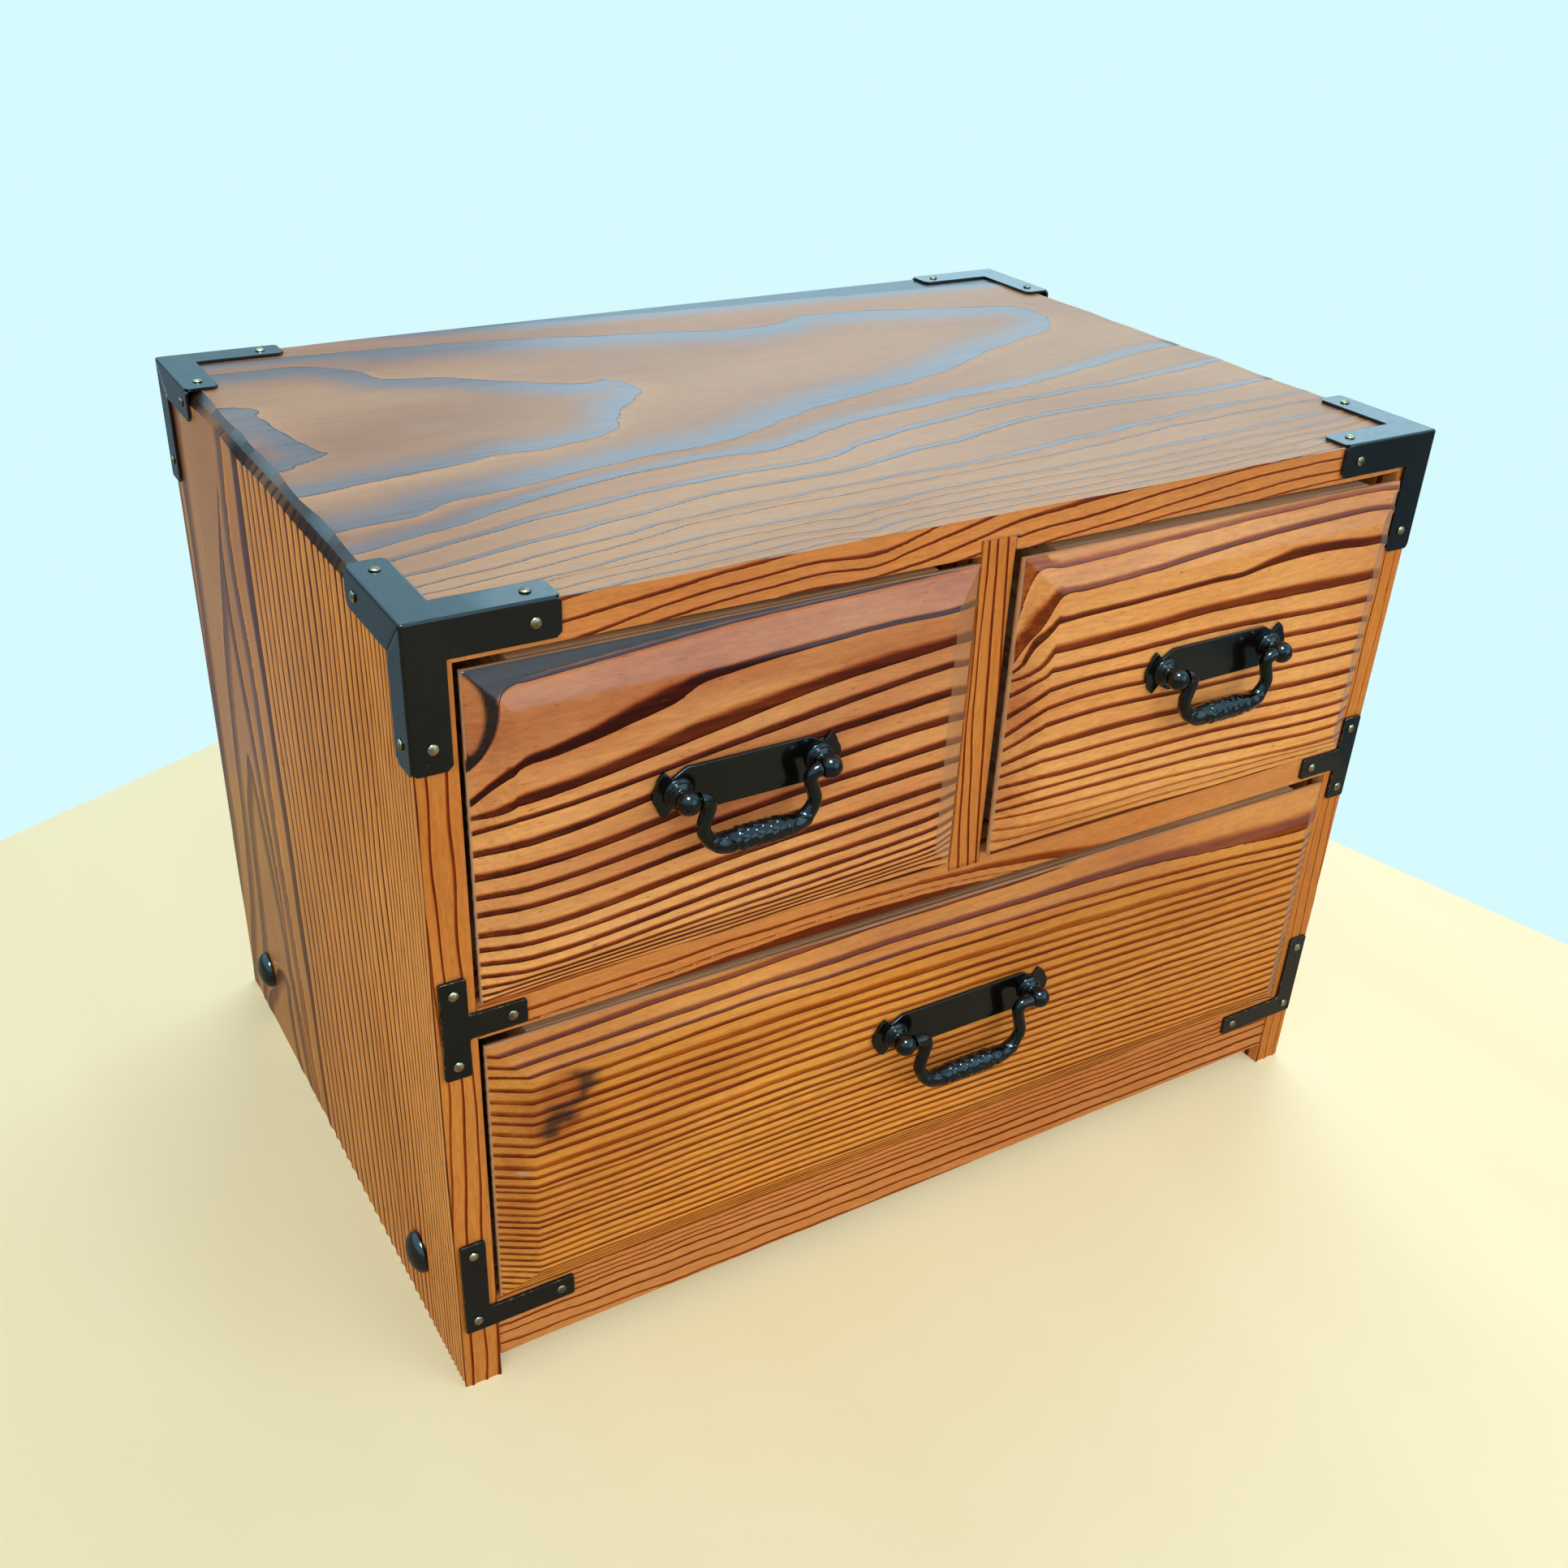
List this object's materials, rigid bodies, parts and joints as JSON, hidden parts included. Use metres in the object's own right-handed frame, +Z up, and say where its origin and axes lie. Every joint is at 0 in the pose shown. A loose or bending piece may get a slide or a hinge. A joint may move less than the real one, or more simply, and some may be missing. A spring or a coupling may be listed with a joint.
{
  "type": "small tansu chest",
  "caption": "Small tabletop wooden chest with small drawers over a wide drawer, black corner mounts and hanging bail handles.",
  "frame": {"origin": "on the floor, under the middle of the whole box, handles counted in", "axes": "+X to the right as seen from the front, +Y to the back, +Z up"},
  "size_m": [0.359, 0.2612, 0.2619],
  "materials": {
    "brushed_cedar": "scorched, wire-brushed cedar under a clear satin coat",
    "raw_cedar": "planed, uncoated",
    "plywood": "thin plywood, uncoated",
    "black_iron": "black enamel over iron, satin with worn edges",
    "brass": "polished domes with a dark ring",
    "steel": "zinc plated"
  },
  "bodies": {
    "carcase": {"left_side": "brushed_cedar", "right_side": "brushed_cedar", "top_board": "brushed_cedar", "mid_shelf": "brushed_cedar", "drawer_divider": "brushed_cedar", "bottom_rail": "brushed_cedar", "bottom_board": "raw_cedar", "guide_left_outer": "raw_cedar", "guide_left_inner": "raw_cedar", "guide_right_inner": "raw_cedar", "guide_right_outer": "raw_cedar", "guide_lower_left": "raw_cedar", "guide_lower_right": "raw_cedar", "back_panel": "plywood", "corner_front_left": "black_iron", "corner_front_right": "black_iron", "corner_back_left": "black_iron", "corner_back_right": "black_iron", "t_plate_left": "black_iron", "t_plate_right": "black_iron", "l_plate_left": "black_iron", "l_plate_right": "black_iron", "corner_nails": "brass", "t_plate_nails": "brass", "l_plate_nails": "brass", "back_nails": "steel", "side_screws": "steel", "screw_caps": "black_iron"},
    "left_drawer": {"left_face": "brushed_cedar", "left_box_front": "raw_cedar", "left_box_left": "raw_cedar", "left_box_right": "raw_cedar", "left_box_back": "raw_cedar", "left_box_bottom": "plywood", "left_handle_plate": "black_iron", "left_handle_posts": "black_iron", "left_handle_screws": "steel"},
    "left_bail": {"left_bail": "black_iron"},
    "right_drawer": {"right_face": "brushed_cedar", "right_box_front": "raw_cedar", "right_box_left": "raw_cedar", "right_box_right": "raw_cedar", "right_box_back": "raw_cedar", "right_box_bottom": "plywood", "right_handle_plate": "black_iron", "right_handle_posts": "black_iron", "right_handle_screws": "steel"},
    "right_bail": {"right_bail": "black_iron"},
    "lower_drawer": {"lower_face": "brushed_cedar", "lower_box_front": "raw_cedar", "lower_box_left": "raw_cedar", "lower_box_right": "raw_cedar", "lower_box_back": "raw_cedar", "lower_box_bottom": "plywood", "lower_handle_plate": "black_iron", "lower_handle_posts": "black_iron", "lower_handle_screws": "steel"},
    "lower_bail": {"lower_bail": "black_iron"}
  },
  "joints": [
    {"name": "left_drawer_slide", "type": "slide", "parent": "carcase", "child": "left_drawer", "axis": [0, -1, 0], "range_m": [0, 0.19]},
    {"name": "right_drawer_slide", "type": "slide", "parent": "carcase", "child": "right_drawer", "axis": [0, -1, 0], "range_m": [-0.002, 0.188]},
    {"name": "lower_drawer_slide", "type": "slide", "parent": "carcase", "child": "lower_drawer", "axis": [0, -1, 0], "range_m": [0, 0.19]},
    {"name": "left_bail_hinge", "type": "hinge", "parent": "left_drawer", "child": "left_bail", "pos_m": [-0.0845, -0.1253, 0.20175], "axis": [-1, 0, 0], "range_deg": [-12, 192]},
    {"name": "right_bail_hinge", "type": "hinge", "parent": "right_drawer", "child": "right_bail", "pos_m": [0.0845, -0.1273, 0.20175], "axis": [-1, 0, 0], "range_deg": [-12, 192]},
    {"name": "lower_bail_hinge", "type": "hinge", "parent": "lower_drawer", "child": "lower_bail", "pos_m": [0, -0.1253, 0.09085], "axis": [-1, 0, 0], "range_deg": [-9, 189]}
  ]
}
